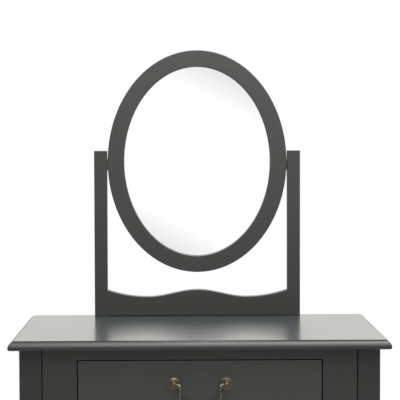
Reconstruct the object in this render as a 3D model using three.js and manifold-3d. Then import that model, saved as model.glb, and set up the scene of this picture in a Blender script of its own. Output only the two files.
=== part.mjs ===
// A painted wooden dressing table with a tilting oval mirror and one inset drawer.
// Millimetres, +Z up. The front faces -Y, and left is -X. The origin is on the floor under the middle of the table.
import * as THREE from "three";
import { mergeVertices } from "three/addons/utils/BufferGeometryUtils.js";
import Module from "manifold-3d";

// ---------- driving dimensions ----------
const WIDTH = 650;
const DEPTH = 360;
const TABLE_HEIGHT = 770;
const TOP_THICKNESS = 16;
const FIT = 0.3; // gap left between pieces that touch
const PANEL = 15; // board thickness of the aprons and the drawer front

// table top moulding, from the top down: a square step, a flattened quarter round, a short flat, and a
// smaller quarter round that turns under the edge; each round is given as [inward, down]
const MOULD = { inset: 8.4, step: 1.6, upper: [7.4, 9.6], lower: [3, 3.8] };
const MOULD_FLATNESS = 1.3; // power that flattens the upper round; at 1 it is a true elliptical quarter
const MOULD_SEGMENTS = { upper: 6, lower: 3 };

// frame under the top
const OVERHANG = 18; // top beyond the legs, at the front and sides
const REAR_OVERHANG = 10;
const LEG = 38;
const APRON_DEPTH = 150;
const SHADOW_GAP = 1.3; // groove between an apron's face and the leg beside it
const TONGUE = { setback: 4, thickness: 7, root: 5, frontUp: 1, sideUp: 14 }; // the last two above the apron's base
const BACK_APRON_SETBACK = 5;

// cabriole curve of a leg, as [height, outer face's distance in, inner face's distance in]
const LEG_CURVE = [
  [3, 1, 28],
  [30, 4, 28.5],
  [90, 10, 31.5],
  [180, 14, 35],
  [300, 11.5, 36],
  [430, 5, 36.8],
  [540, 0.8, 37.8],
];
const GLIDE = { height: 2.8, radius: 9, easing: 1, nail: 1.2, nailTip: 14, length: 15 };

// bolts and braces in the corners of the frame
const BOLT = { radius: 3, hole: 3.4, intoLeg: 35, tail: 12, drop: 40, washer: 8, nut: 6.5, nutFace: 7.5 };
const BLOCK = { thickness: 20, clearance: 4, top: 10, bottom: 70 }; // the last two below the table top

// drawer
const DRAWER_OPENING = { halfWidth: 209.2, top: 18.4, height: 98.2 };
const DRAWER_GAP = 1.6;
const DRAWER_SIDE = 12;
const DRAWER_BOTTOM = 4;
const DRAWER_DEPTH = 75; // height of the drawer's sides
const GROOVE = { depth: 5, up: 8, slack: 0.4 };
const RUNNER = { ledge: 15, inner: 188.8, guideGap: 1.6, outer: 226, guide: 25, aboveOpening: 6.3 };
const KICKER = { inner: 190, outer: 212, gap: 3 };

// swan-neck handle
const HANDLE_CENTRES = 90;
const HANDLE_DROP = 38.8; // from the drawer's top edge to the handle's axis
const HANDLE_STANDOFF = 14.5;
const ROSETTE_RADIUS = 11;
const HEAD_RADIUS = 4.8;
const BAIL_RADIUS = 2;
const KNUCKLE = { radius: 3.6, x: 34.8, drop: 2.8 };
const SCREW_HOLE = 2.4;

// mirror stand and mirror
const STAND_THICKNESS = 18;
const POST = { outer: 197.6, inner: 172.9, height: 318 };
const MIRROR = { halfWidth: 171.6, halfHeight: 212.7, rim: 31.3, centre: TABLE_HEIGHT + 297.3 };
const PIVOT_HEIGHT = MIRROR.centre - 5.7;
const GLASS = 3;
const BACKING = 3;
const MIRROR_SEGMENTS = 64;
const POST_SCREW = { shank: 2.2, head: 4.4, rim: 0.6, headHeight: 2.8, length: 57, point: 5 };
const BUSH = { outer: 5, bore: 2.8, length: 14 };
const PIN = { radius: 2.5, start: MIRROR.halfWidth - 13.8, length: 12 };
const PLATE = { face: MIRROR.halfWidth + 0.6, thickness: 2.6, halfWidth: 5, halfHeight: 11, screws: 7.6 };
const PLATE_SCREW = { proud: 0.35, hole: 1.4, depth: 13, recess: 2.4, recessDepth: 0.5 };

// ---------- levels and faces worked out from them ----------
const UNDERSIDE = TABLE_HEIGHT - TOP_THICKNESS;
const APRON_BOTTOM = UNDERSIDE - APRON_DEPTH;
const LEG_X = WIDTH / 2 - OVERHANG;
const FRONT_FACE = -DEPTH / 2 + OVERHANG;
const REAR_FACE = DEPTH / 2 - REAR_OVERHANG;
const APRON_BACK = FRONT_FACE + PANEL;
const BACK_APRON_FRONT = REAR_FACE - BACK_APRON_SETBACK - PANEL;
const OPENING_TOP = UNDERSIDE - DRAWER_OPENING.top;
const OPENING_BOTTOM = OPENING_TOP - DRAWER_OPENING.height;
const DRAWER_TOP = OPENING_TOP - DRAWER_GAP;
const DRAWER_BASE = OPENING_BOTTOM + DRAWER_GAP;
const DRAWER_HALF = DRAWER_OPENING.halfWidth - DRAWER_GAP;
const HANDLE_HEIGHT = DRAWER_TOP - HANDLE_DROP;
const STAND_FRONT = DEPTH / 2 - STAND_THICKNESS;
const STAND_MIDDLE = DEPTH / 2 - STAND_THICKNESS / 2;

// ---------- materials ----------
const finish = (color, roughness, metalness = 0) =>
  new THREE.MeshStandardMaterial({ color, roughness, metalness });
const GREY_PAINT = finish(0x4b4b49, 0.35);
const PINE = finish(0xc9a878, 0.6);
const PLYWOOD = finish(0xd2b88f, 0.65);
const HARDBOARD = finish(0x6f553b, 0.8);
const SILVERED_GLASS = finish(0xe8ecec, 0.03, 1);
const ANTIQUE_BRASS = finish(0x6d6447, 0.4, 1);
const STEEL = finish(0x9a9a98, 0.35, 1);
const NYLON = finish(0x2a2a2a, 0.6);

// ---------- helpers ----------
const wasm = await Module();
wasm.setup();
const table = new THREE.Group();

// A closed geometry as a manifold-3d solid.
function solid(geometry) {
  const bare = geometry.index ? geometry.toNonIndexed() : geometry.clone();
  bare.deleteAttribute("normal");
  bare.deleteAttribute("uv");
  const merged = mergeVertices(bare, 1e-3);
  return new wasm.Manifold(
    new wasm.Mesh({
      numProp: 3,
      vertProperties: merged.attributes.position.array,
      triVerts: new Uint32Array(merged.index.array),
    }),
  );
}

// A manifold-3d solid as a geometry.
function geometryOf(body) {
  const mesh = body.getMesh();
  const geometry = new THREE.BufferGeometry();
  geometry.setAttribute("position", new THREE.BufferAttribute(mesh.vertProperties, 3));
  geometry.setIndex(new THREE.BufferAttribute(mesh.triVerts, 1));
  geometry.computeVertexNormals();
  return geometry;
}

// One geometry with others cut out of it, or joined to it.
const cut = (geometry, ...tools) =>
  geometryOf(tools.reduce((body, tool) => body.subtract(solid(tool)), solid(geometry)));
const joined = (geometry, ...others) =>
  geometryOf(others.reduce((body, other) => body.add(solid(other)), solid(geometry)));
const common = (a, b) => geometryOf(solid(a).intersect(solid(b)));

function add(name, geometry, material, parent = table) {
  const mesh = new THREE.Mesh(geometry, material);
  mesh.name = name;
  parent.add(mesh);
  return mesh;
}

// A box between two opposite corners, given in any order.
function block([x0, y0, z0], [x1, y1, z1]) {
  const geometry = new THREE.BoxGeometry(Math.abs(x1 - x0), Math.abs(y1 - y0), Math.abs(z1 - z0));
  return geometry.translate((x0 + x1) / 2, (y0 + y1) / 2, (z0 + z1) / 2);
}

// An outline of [a, b] points, with optional holes, extruded along an axis between two stations.
// Along x the outline is drawn in (y, z), along y in (x, z), and along z in (x, y).
function extruded(axis, from, to, outline, ...holes) {
  const shape = new THREE.Shape(outline.map(([a, b]) => new THREE.Vector2(a, b)));
  for (const hole of holes) {
    shape.holes.push(new THREE.Path(hole.map(([a, b]) => new THREE.Vector2(a, b))));
  }
  const [low, high] = [Math.min(from, to), Math.max(from, to)];
  const geometry = new THREE.ExtrudeGeometry(shape, { depth: high - low, bevelEnabled: false });
  if (axis === "y") return geometry.translate(0, 0, -high).rotateX(Math.PI / 2);
  geometry.translate(0, 0, low);
  if (axis === "z") return geometry;
  const turn = new THREE.Matrix4().makeBasis(
    new THREE.Vector3(0, 1, 0),
    new THREE.Vector3(0, 0, 1),
    new THREE.Vector3(1, 0, 0),
  );
  return geometry.applyMatrix4(turn);
}

const rectangle = (a0, b0, a1, b1) => [[a0, b0], [a1, b0], [a1, b1], [a0, b1]];

function ellipse(centreA, centreB, halfA, halfB, segments = MIRROR_SEGMENTS) {
  return Array.from({ length: segments }, (_, i) => {
    const angle = (2 * Math.PI * i) / segments;
    return [centreA + halfA * Math.cos(angle), centreB + halfB * Math.sin(angle)];
  });
}

// A cylinder between two points.
function rod(start, end, radius, segments = 16) {
  const a = new THREE.Vector3(...start);
  const b = new THREE.Vector3(...end);
  const way = b.clone().sub(a);
  const geometry = new THREE.CylinderGeometry(radius, radius, way.length(), segments);
  const turn = new THREE.Quaternion().setFromUnitVectors(
    new THREE.Vector3(0, 1, 0),
    way.clone().normalize(),
  );
  const middle = a.add(b).multiplyScalar(0.5);
  return geometry.applyQuaternion(turn).translate(middle.x, middle.y, middle.z);
}

// A turned piece: [radius, height] points round an axis that starts at a point and runs in a direction.
function turned(profile, start, direction, segments = 24) {
  const points = profile.map(([radius, height]) => new THREE.Vector2(radius, height));
  const geometry = new THREE.LatheGeometry(points, segments);
  const turn = new THREE.Quaternion().setFromUnitVectors(
    new THREE.Vector3(0, 1, 0),
    new THREE.Vector3(...direction).normalize(),
  );
  return geometry.applyQuaternion(turn).translate(...start);
}

// The wave that the mirror rail and the aprons share: a cosine hump in the middle between two hollows,
// and an arc that rises from each hollow to the end.
function wave(along, { half, hollow, end, low, hump }) {
  const x = Math.abs(along);
  if (x < hollow) return (hump + low) / 2 + ((hump - low) / 2) * Math.cos((Math.PI * x) / hollow);
  return low + (end - low) * ((x - hollow) / (half - hollow)) ** 2;
}

function waveLine(half, segments, height) {
  return Array.from({ length: segments + 1 }, (_, i) => {
    const x = -half + (2 * half * i) / segments;
    return [x, height(x)];
  });
}

const SIDES = [["left", -1], ["right", 1]];
const CORNERS = [
  ["front_left", -1, -1],
  ["front_right", 1, -1],
  ["rear_left", -1, 1],
  ["rear_right", 1, 1],
];

// ---------- table top ----------
// The moulded edge's outline, from the top surface out and down to the underside, on the side of the given sign.
function mouldedEdge(sign, half) {
  const [upperIn, upperDown] = MOULD.upper;
  const [lowerIn, lowerDown] = MOULD.lower;
  const points = [[half - MOULD.inset, TABLE_HEIGHT], [half - MOULD.inset, TABLE_HEIGHT - MOULD.step]];
  for (let i = 0; i <= MOULD_SEGMENTS.upper; i++) {
    const angle = (Math.PI / 2) * (i / MOULD_SEGMENTS.upper);
    points.push([
      half - upperIn * (1 - Math.sin(angle) ** MOULD_FLATNESS),
      TABLE_HEIGHT - MOULD.step - upperDown * (1 - Math.cos(angle) ** MOULD_FLATNESS),
    ]);
  }
  for (let i = 0; i <= MOULD_SEGMENTS.lower; i++) {
    const angle = (Math.PI / 2) * (i / MOULD_SEGMENTS.lower);
    points.push([half - lowerIn * (1 - Math.cos(angle)), UNDERSIDE + lowerDown * (1 - Math.sin(angle))]);
  }
  return points.map(([out, z]) => [sign * out, z]);
}

const POST_MIDDLE = (POST.outer + POST.inner) / 2;

function tableTop() {
  const half = DEPTH / 2;
  const across = [...mouldedEdge(1, WIDTH / 2), ...mouldedEdge(-1, WIDTH / 2).reverse()];
  const frontToBack = [[half, UNDERSIDE], [half, TABLE_HEIGHT], ...mouldedEdge(-1, half)];
  const board = common(
    extruded("y", -half - 1, half + 1, across),
    extruded("x", -WIDTH / 2 - 1, WIDTH / 2 + 1, frontToBack),
  );
  const holes = SIDES.flatMap(([, side]) => {
    const at = (z) => [side * POST_MIDDLE, STAND_MIDDLE, z];
    return [
      rod(at(UNDERSIDE - 1), at(TABLE_HEIGHT + 1), POST_SCREW.shank + FIT),
      rod(at(UNDERSIDE - 1), at(UNDERSIDE + POST_SCREW.headHeight + FIT), POST_SCREW.head + FIT),
    ];
  });
  return cut(board, ...holes);
}
add("table_top", tableTop(), GREY_PAINT);

// ---------- legs, with their glides, corner blocks and bolts ----------
// Distance of a leg face from the outer plane, at the heights of the curve, as a smooth line.
function legFace(column) {
  const points = LEG_CURVE.map((row) => new THREE.Vector2(row[column], row[0]));
  points.push(new THREE.Vector2(column === 1 ? 0 : LEG, APRON_BOTTOM));
  return new THREE.SplineCurve(points).getPoints(26).map((p) => [p.x, p.y]);
}

// The leg seen from one side: a straight block behind the apron and the curve under it.
function legOutline(sign, outerFace) {
  const top = UNDERSIDE - FIT;
  const line = [...legFace(1), [0, top], [LEG, top], ...legFace(2).reverse()];
  return line.map(([inward, z]) => [sign * (outerFace - inward), z]);
}

const legOuterY = (sy) => (sy < 0 ? -FRONT_FACE : REAR_FACE);

// Where a corner's bolt runs: from behind the corner block, out into the middle of the leg.
function boltLine(sx, sy, fromBlockFace, intoLeg) {
  const cornerX = LEG_X - LEG;
  const cornerY = legOuterY(sy) - LEG;
  const inward = BLOCK.clearance / Math.SQRT2 + BLOCK.thickness;
  const at = (distance) => [
    sx * (cornerX + distance / Math.SQRT2),
    sy * (cornerY + distance / Math.SQRT2),
    UNDERSIDE - BOLT.drop,
  ];
  return [at(-inward - fromBlockFace), at(intoLeg)];
}

function leg(sx, sy) {
  const outerY = legOuterY(sy);
  const body = common(
    extruded("y", sy * outerY, sy * (outerY - LEG), legOutline(sx, LEG_X)),
    extruded("x", sx * LEG_X, sx * (LEG_X - LEG), legOutline(sy, outerY)),
  );
  const foot = footCentre(sx, sy);
  return cut(
    body,
    rod([...foot, 0], [...foot, GLIDE.length + 1], GLIDE.nail + 0.4, 12),
    rod(...boltLine(sx, sy, 0, BOLT.intoLeg + 2), BOLT.hole, 12),
  );
}

function footCentre(sx, sy) {
  const [, outerInset, innerInset] = LEG_CURVE[0];
  const inward = (outerInset + innerInset) / 2;
  return [sx * (LEG_X - inward), sy * (legOuterY(sy) - inward)];
}

// A nail-on glide: a disc with an eased rim, and its nail.
function glide(sx, sy) {
  const { height, radius, easing, nail, nailTip, length } = GLIDE;
  const profile = [
    [0, 0], [radius - easing, 0], [radius, easing], [radius, height], [nail, height], [nail, nailTip], [0, length],
  ];
  return turned(profile, [...footCentre(sx, sy), 0], [0, 0, 1], 14);
}

// A brace across the corner between two aprons.
function cornerBlock(sx, sy) {
  const apronX = LEG_X - PANEL - FIT;
  const apronY = (sy < 0 ? -APRON_BACK : BACK_APRON_FRONT) - FIT;
  const near = LEG_X - LEG + legOuterY(sy) - LEG - BLOCK.clearance;
  const far = near - BLOCK.thickness * Math.SQRT2;
  const plan = [
    [far - apronY, apronY],
    [near - apronY, apronY],
    [apronX, near - apronX],
    [apronX, far - apronX],
  ].map(([x, y]) => [sx * x, sy * y]);
  return cut(
    extruded("z", UNDERSIDE - BLOCK.bottom, UNDERSIDE - BLOCK.top, plan),
    rod(...boltLine(sx, sy, 5, 10), BOLT.hole, 12),
  );
}

// A hanger bolt with its washer and hexagon nut.
function legBolt(sx, sy) {
  const outFromBlock = (distance) => boltLine(sx, sy, distance, BOLT.intoLeg)[0];
  const [tail, tip] = boltLine(sx, sy, BOLT.tail, BOLT.intoLeg);
  return joined(
    rod(tail, tip, BOLT.radius, 10),
    rod(outFromBlock(1.8), outFromBlock(FIT), BOLT.washer, 14),
    rod(outFromBlock(BOLT.nutFace), outFromBlock(1), BOLT.nut, 6),
  );
}

for (const [name, sx, sy] of CORNERS) {
  add(`leg_${name}`, leg(sx, sy), GREY_PAINT);
  add(`floor_glide_${name}`, glide(sx, sy), NYLON);
  add(`corner_block_${name}`, cornerBlock(sx, sy), PINE);
  add(`leg_bolt_${name}`, legBolt(sx, sy), STEEL);
}

// ---------- aprons ----------
const APRON_TOP = UNDERSIDE - FIT;
const APRON_HALF = LEG_X - LEG - SHADOW_GAP;
const FRONT_WAVE = { half: APRON_HALF, hollow: 147, end: APRON_DEPTH, low: 135, hump: 148 };

function frontApron() {
  const bottom = waveLine(APRON_HALF, 48, (x) => UNDERSIDE - wave(x, FRONT_WAVE));
  const outline = [...bottom, [APRON_HALF, APRON_TOP], [-APRON_HALF, APRON_TOP]];
  const { halfWidth } = DRAWER_OPENING;
  const opening = rectangle(-halfWidth, OPENING_BOTTOM, halfWidth, OPENING_TOP);
  const board = extruded("y", FRONT_FACE, APRON_BACK, outline, opening);
  const tongues = SIDES.map(([, side]) =>
    block(
      [side * (APRON_HALF - TONGUE.root), FRONT_FACE + TONGUE.setback, APRON_BOTTOM + TONGUE.frontUp],
      [side * (LEG_X - LEG - FIT), FRONT_FACE + TONGUE.setback + TONGUE.thickness, APRON_TOP],
    ),
  );
  return joined(board, ...tongues);
}
add("front_apron", frontApron(), GREY_PAINT);

const SIDE_FRONT = FRONT_FACE + LEG;
const SIDE_REAR = REAR_FACE - LEG;
const SIDE_MIDDLE = (SIDE_FRONT + SIDE_REAR) / 2;
const SIDE_HALF = (SIDE_REAR - SIDE_FRONT) / 2 - SHADOW_GAP;
const SIDE_WAVE = { half: SIDE_HALF, hollow: 70, end: APRON_DEPTH, low: 138, hump: 149 };

function sideApron(side) {
  const bottom = waveLine(SIDE_HALF, 32, (y) => UNDERSIDE - wave(y, SIDE_WAVE));
  const outline = [...bottom, [SIDE_HALF, APRON_TOP], [-SIDE_HALF, APRON_TOP]];
  const shifted = outline.map(([y, z]) => [SIDE_MIDDLE + y, z]);
  const board = extruded("x", side * (LEG_X - PANEL), side * LEG_X, shifted);
  const tongue = block(
    [side * (LEG_X - TONGUE.setback), SIDE_FRONT + FIT, APRON_BOTTOM + TONGUE.sideUp],
    [side * (LEG_X - TONGUE.setback - TONGUE.thickness), SIDE_REAR - FIT, APRON_TOP],
  );
  return joined(board, tongue);
}
for (const [name, side] of SIDES) add(`side_apron_${name}`, sideApron(side), GREY_PAINT);

const backHalf = LEG_X - LEG - FIT;
add(
  "back_apron",
  block([-backHalf, BACK_APRON_FRONT, APRON_BOTTOM], [backHalf, BACK_APRON_FRONT + PANEL, APRON_TOP]),
  GREY_PAINT,
);

// ---------- drawer runners and kickers ----------
const BOX_HALF = DRAWER_HALF - 6; // outer face of a drawer side
const RUNNER_TOP = OPENING_BOTTOM + RUNNER.aboveOpening;
const BOX_BASE = RUNNER_TOP + FIT;
const BOX_TOP = BOX_BASE + DRAWER_DEPTH;
const [RUN_FRONT, RUN_REAR] = [APRON_BACK + FIT, BACK_APRON_FRONT - FIT];

function runner(side) {
  const guideFace = BOX_HALF + RUNNER.guideGap;
  const outline = [
    [RUNNER.inner, RUNNER_TOP - RUNNER.ledge],
    [RUNNER.outer, RUNNER_TOP - RUNNER.ledge],
    [RUNNER.outer, RUNNER_TOP + RUNNER.guide],
    [guideFace, RUNNER_TOP + RUNNER.guide],
    [guideFace, RUNNER_TOP],
    [RUNNER.inner, RUNNER_TOP],
  ];
  return extruded("y", RUN_FRONT, RUN_REAR, outline.map(([x, z]) => [side * x, z]));
}

for (const [name, side] of SIDES) {
  add(`drawer_runner_${name}`, runner(side), PINE);
  add(
    `drawer_kicker_${name}`,
    block(
      [side * KICKER.inner, RUN_FRONT, BOX_TOP + KICKER.gap],
      [side * KICKER.outer, RUN_REAR, UNDERSIDE - FIT],
    ),
    PINE,
  );
}

// ---------- mirror stand ----------
const STAND_BASE = TABLE_HEIGHT + FIT;
const pivotAt = (x) => [x, STAND_MIDDLE, PIVOT_HEIGHT];

function mirrorPost(side) {
  const top = TABLE_HEIGHT + POST.height;
  const post = block([side * POST.inner, STAND_FRONT, STAND_BASE], [side * POST.outer, DEPTH / 2, top]);
  const foot = (z) => [side * POST_MIDDLE, STAND_MIDDLE, z];
  return cut(
    post,
    rod(pivotAt(side * (POST.inner - 1)), pivotAt(side * (POST.inner + BUSH.length + 0.5)), BUSH.outer + FIT, 20),
    rod(foot(UNDERSIDE), foot(UNDERSIDE + POST_SCREW.length + 1), POST_SCREW.shank + FIT),
  );
}

function postScrew(side) {
  const { shank, head, rim, headHeight, length, point } = POST_SCREW;
  const profile = [[0, 0], [head, 0], [head, rim], [shank, headHeight], [shank, length - point], [0, length]];
  return turned(profile, [side * POST_MIDDLE, STAND_MIDDLE, UNDERSIDE + FIT], [0, 0, 1], 12);
}

const RAIL_WAVE = { half: POST.inner, hollow: 95, end: 50, low: 36.9, hump: 50.4 };
function mirrorRail() {
  const half = POST.inner - FIT;
  const top = waveLine(half, 64, (x) => TABLE_HEIGHT + wave(x, RAIL_WAVE));
  const outline = [[-half, STAND_BASE], [half, STAND_BASE], ...top.reverse()];
  return extruded("y", STAND_FRONT, DEPTH / 2, outline);
}
add("mirror_rail", mirrorRail(), GREY_PAINT);

for (const [name, side] of SIDES) {
  add(`mirror_post_${name}`, mirrorPost(side), GREY_PAINT);
  add(`post_screw_${name}`, postScrew(side), STEEL);
  const bushStart = side * (POST.inner + FIT);
  const bushEnd = side * (POST.inner + BUSH.length);
  add(
    `pivot_bush_${name}`,
    cut(
      rod(pivotAt(bushStart), pivotAt(bushEnd), BUSH.outer, 20),
      rod(pivotAt(bushStart - side), pivotAt(bushEnd + side), BUSH.bore, 20),
    ),
    ANTIQUE_BRASS,
  );
}

// ---------- mirror ----------
// The frame is an oval ring, rebated from behind first for the backing board and then for the glass.
const OPEN = { halfWidth: MIRROR.halfWidth - MIRROR.rim, halfHeight: MIRROR.halfHeight - MIRROR.rim };
const GLASS_REBATE = { grow: 8, front: STAND_FRONT + 9.5 };
const GLASS_FRONT = GLASS_REBATE.front + FIT;
const BACKING_REBATE = { grow: 16, front: GLASS_FRONT + GLASS };
const REBATE_SLACK = 0.5;
const BACKING_SCREW = { shank: 1, head: 2.6, crown: 1.8, crownHeight: 0.5, length: 10, hole: 1.3, clearance: 1.5 };

const oval = (grow) => ellipse(0, MIRROR.centre, OPEN.halfWidth + grow, OPEN.halfHeight + grow);

function plateOutline(grow) {
  const half = PLATE.halfHeight - PLATE.halfWidth;
  return Array.from({ length: 20 }, (_, i) => {
    const angle = (2 * Math.PI * (i + 0.5)) / 20;
    const end = Math.sign(Math.sin(angle)) * half;
    return [
      STAND_MIDDLE + (PLATE.halfWidth + grow) * Math.cos(angle),
      PIVOT_HEIGHT + end + (PLATE.halfWidth + grow) * Math.sin(angle),
    ];
  });
}

const screwAt = (x, up) => [x, STAND_MIDDLE, PIVOT_HEIGHT + up * PLATE.screws];

function mirrorFrame() {
  const back = DEPTH / 2;
  const ring = extruded(
    "y", STAND_FRONT, back,
    ellipse(0, MIRROR.centre, MIRROR.halfWidth, MIRROR.halfHeight),
    oval(0),
  );
  const pockets = SIDES.flatMap(([, side]) => {
    const floor = PLATE.face - PLATE.thickness - FIT;
    return [
      extruded("x", side * floor, side * (PLATE.face + 3), plateOutline(FIT)),
      rod(pivotAt(side * (PIN.start - 1)), pivotAt(side * PLATE.face), PIN.radius + FIT, 20),
      ...[1, -1].map((up) =>
        rod(screwAt(side * (PLATE.face - PLATE_SCREW.depth), up), screwAt(side * PLATE.face, up), PLATE_SCREW.hole, 12),
      ),
    ];
  });
  const backingHoles = backingScrewPlaces().map(([x, z]) =>
    rod([x, back - BACKING_SCREW.length - 1, z], [x, back + 1, z], BACKING_SCREW.hole, 10),
  );
  return cut(
    ring,
    extruded("y", GLASS_REBATE.front, back + 1, oval(GLASS_REBATE.grow)),
    extruded("y", BACKING_REBATE.front, back + 1, oval(BACKING_REBATE.grow)),
    ...pockets,
    ...backingHoles,
  );
}

// Six screws hold the backing board, evenly round the oval.
function backingScrewPlaces() {
  const grow = (GLASS_REBATE.grow + BACKING_REBATE.grow) / 2;
  return ellipse(0, 0, OPEN.halfWidth + grow, OPEN.halfHeight + grow, 12)
    .filter((_, i) => i % 2 === 1)
    .map(([x, z]) => [x, MIRROR.centre + z]);
}

const BACKING_FRONT = BACKING_REBATE.front + FIT;
const BACKING_BACK = BACKING_FRONT + BACKING;
function mirrorBacking() {
  const board = extruded("y", BACKING_FRONT, BACKING_BACK, oval(BACKING_REBATE.grow - REBATE_SLACK));
  const holes = backingScrewPlaces().map(([x, z]) =>
    rod([x, BACKING_FRONT - 1, z], [x, BACKING_BACK + 1, z], BACKING_SCREW.clearance, 10),
  );
  return cut(board, ...holes);
}

function backingScrew([x, z]) {
  const { shank, head, crown, crownHeight, length } = BACKING_SCREW;
  const headBase = DEPTH / 2 - BACKING_BACK - FIT;
  const profile = [
    [0, 0], [crown, 0], [head, crownHeight], [head, headBase], [shank, headBase], [shank, length - 1], [0, length],
  ];
  return turned(profile, [x, DEPTH / 2, z], [0, -1, 0], 10);
}

add("mirror_frame", mirrorFrame(), GREY_PAINT);
add(
  "mirror_glass",
  extruded("y", GLASS_FRONT, GLASS_FRONT + GLASS, oval(GLASS_REBATE.grow - REBATE_SLACK)),
  SILVERED_GLASS,
);
add("mirror_backing", mirrorBacking(), HARDBOARD);
backingScrewPlaces().forEach((place, i) => add(`backing_screw_${i + 1}`, backingScrew(place), STEEL));

// Each pivot is a plate with a pin riveted through it, let into the frame's edge and held by two screws.
for (const [name, side] of SIDES) {
  const plateBack = side * (PLATE.face - PLATE.thickness);
  const plate = cut(
    extruded("x", plateBack, side * PLATE.face, plateOutline(0)),
    ...[1, -1].flatMap((up) => [
      rod(screwAt(plateBack - side, up), screwAt(side * (PLATE.face + 1), up), PLATE_SCREW.hole, 12),
      rod(
        screwAt(side * (PLATE.face - PLATE_SCREW.recessDepth), up),
        screwAt(side * (PLATE.face + 1), up),
        PLATE_SCREW.recess,
        16,
      ),
    ]),
  );
  const pin = rod(pivotAt(side * PIN.start), pivotAt(side * (POST.inner + PIN.length)), PIN.radius, 20);
  add(`pivot_plate_${name}`, joined(plate, pin), ANTIQUE_BRASS);
  for (const [place, up] of [["upper", 1], ["lower", -1]]) {
    const start = screwAt(side * (PLATE.face + PLATE_SCREW.proud), up);
    const profile = [[0, 0], [1.4, 0], [2.1, 0.4], [2.1, 0.8], [1.1, 0.8], [1.1, 11], [0, 12.5]];
    add(`pivot_screw_${name}_${place}`, turned(profile, start, [-side, 0, 0], 10), ANTIQUE_BRASS);
  }
}

// ---------- drawer ----------
const BOX_FRONT = APRON_BACK + FIT;
const BOX_REAR = BACK_APRON_FRONT - FIT; // the closed drawer stops against the back apron
const BOX_INNER = BOX_HALF - DRAWER_SIDE;
const PANEL_BASE = BOX_BASE + GROOVE.up; // underside of the drawer's bottom panel
const PANEL_TOP = PANEL_BASE + DRAWER_BOTTOM;
const PANEL_INSET = GROOVE.depth - GROOVE.slack; // how far the panel enters its grooves
const HANDLE_X = HANDLE_CENTRES / 2;

function drawerFront() {
  const board = block([-DRAWER_HALF, FRONT_FACE, DRAWER_BASE], [DRAWER_HALF, APRON_BACK, DRAWER_TOP]);
  const groove = block(
    [-BOX_INNER - GROOVE.depth, APRON_BACK - GROOVE.depth, PANEL_BASE - FIT],
    [BOX_INNER + GROOVE.depth, APRON_BACK + 1, PANEL_TOP + FIT],
  );
  const screwHoles = SIDES.map(([, side]) => {
    const at = (y) => [side * HANDLE_X, y, HANDLE_HEIGHT];
    return rod(at(FRONT_FACE - 1), at(APRON_BACK + 1), SCREW_HOLE);
  });
  return cut(board, groove, ...screwHoles);
}

function drawerSide(side) {
  const outline = [
    [BOX_HALF, BOX_BASE],
    [BOX_HALF, BOX_TOP],
    [BOX_INNER, BOX_TOP],
    [BOX_INNER, PANEL_TOP + FIT],
    [BOX_INNER + GROOVE.depth, PANEL_TOP + FIT],
    [BOX_INNER + GROOVE.depth, PANEL_BASE - FIT],
    [BOX_INNER, PANEL_BASE - FIT],
    [BOX_INNER, BOX_BASE],
  ];
  return extruded("y", BOX_FRONT, BOX_REAR, outline.map(([x, z]) => [side * x, z]));
}

add("drawer_front", drawerFront(), GREY_PAINT);
for (const [name, side] of SIDES) add(`drawer_side_${name}`, drawerSide(side), PINE);
add(
  "drawer_back",
  block(
    [-BOX_INNER + FIT, BOX_REAR - DRAWER_SIDE, PANEL_TOP + FIT],
    [BOX_INNER - FIT, BOX_REAR, BOX_TOP - 3],
  ),
  PINE,
);
add(
  "drawer_bottom",
  block(
    [-BOX_INNER - PANEL_INSET, APRON_BACK - PANEL_INSET, PANEL_BASE],
    [BOX_INNER + PANEL_INSET, BOX_REAR, PANEL_TOP],
  ),
  PLYWOOD,
);

// ---------- handle ----------
const HANDLE_FACE = FRONT_FACE - FIT;
const POST_BASE = 3.2; // radius of a handle post at the rosette

const HANDLE_SCREW = { head: 4, crown: 3, headHeight: 2.2, shank: 1.9, length: 24 };

// A rosette with a thin rim, a rounded ring and a raised middle, and the hole that the post goes through.
function rosette(side) {
  const bore = POST_BASE + FIT;
  const profile = [
    [bore, 0], [ROSETTE_RADIUS, 0], [ROSETTE_RADIUS, 0.7], [10.3, 1.1], [9.2, 1.3], [8.5, 1.9], [7.7, 2.6],
    [6.9, 2.9], [6.1, 2.6], [5.4, 2.1], [4.7, 2.3], [4.1, 2.7], [bore, 2.7], [bore, 0],
  ];
  return turned(profile, [side * HANDLE_X, HANDLE_FACE, HANDLE_HEIGHT], [0, -1, 0], 24);
}

// A turned post with a ball head. The bail's end sits in a hole in the head's inner side.
function handlePost(side) {
  const standoff = HANDLE_STANDOFF - FIT;
  const profile = [[0, 0], [POST_BASE, 0], [POST_BASE, 5], [2.8, 7.5]];
  const [steps, neck] = [7, 0.8 * Math.PI]; // the ball's outline, from the neck to the tip
  for (let i = 1; i <= steps; i++) {
    const angle = neck * (1 - i / steps);
    profile.push([HEAD_RADIUS * Math.sin(angle), standoff + HEAD_RADIUS * Math.cos(angle)]);
  }
  const x = side * HANDLE_X;
  const headY = FRONT_FACE - HANDLE_STANDOFF;
  return cut(
    turned(profile, [x, HANDLE_FACE, HANDLE_HEIGHT], [0, -1, 0], 18),
    rod([x, FRONT_FACE + 1, HANDLE_HEIGHT], [x, FRONT_FACE - 7.5, HANDLE_HEIGHT], HANDLE_SCREW.shank + FIT),
    rod([x + side * 0.6, headY, HANDLE_HEIGHT], [x - side * 6, headY, HANDLE_HEIGHT], BAIL_RADIUS + 0.4, 12),
  );
}

function handleScrew(side) {
  const { head, crown, headHeight, shank, length } = HANDLE_SCREW;
  const profile = [
    [0, 0], [crown, 0], [head, 0.8], [head, headHeight], [shank, headHeight], [shank, length - 0.5], [0, length],
  ];
  return turned(profile, [side * HANDLE_X, APRON_BACK + FIT + headHeight, HANDLE_HEIGHT], [0, -1, 0], 14);
}

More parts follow.
